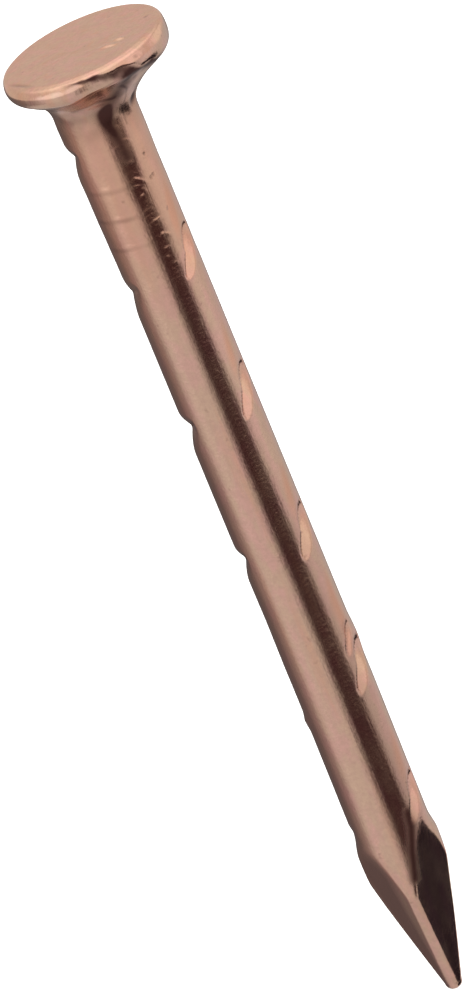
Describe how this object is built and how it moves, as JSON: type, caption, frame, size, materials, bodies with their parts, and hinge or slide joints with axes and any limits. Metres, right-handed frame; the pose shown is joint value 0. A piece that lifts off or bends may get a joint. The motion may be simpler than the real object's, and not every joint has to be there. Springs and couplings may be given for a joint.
{
  "type": "nail",
  "caption": "Short round wire nail with a broad flat head, rows of slanting barbs along the shank and a pinched diamond point.",
  "frame": {"origin": "where the shank's axis meets the flat struck face of the head", "axes": "+Z along the shank's axis, out of the struck face, so that the point is down at -Z; -Y is the front, between the two rows of barbs, and the head stands a little off the axis towards +X"},
  "size_m": [0.0031, 0.003, 0.0191],
  "materials": {
    "copper_plate": "gloss"
  },
  "bodies": {
    "root": {"nail": "copper_plate"}
  },
  "joints": []
}
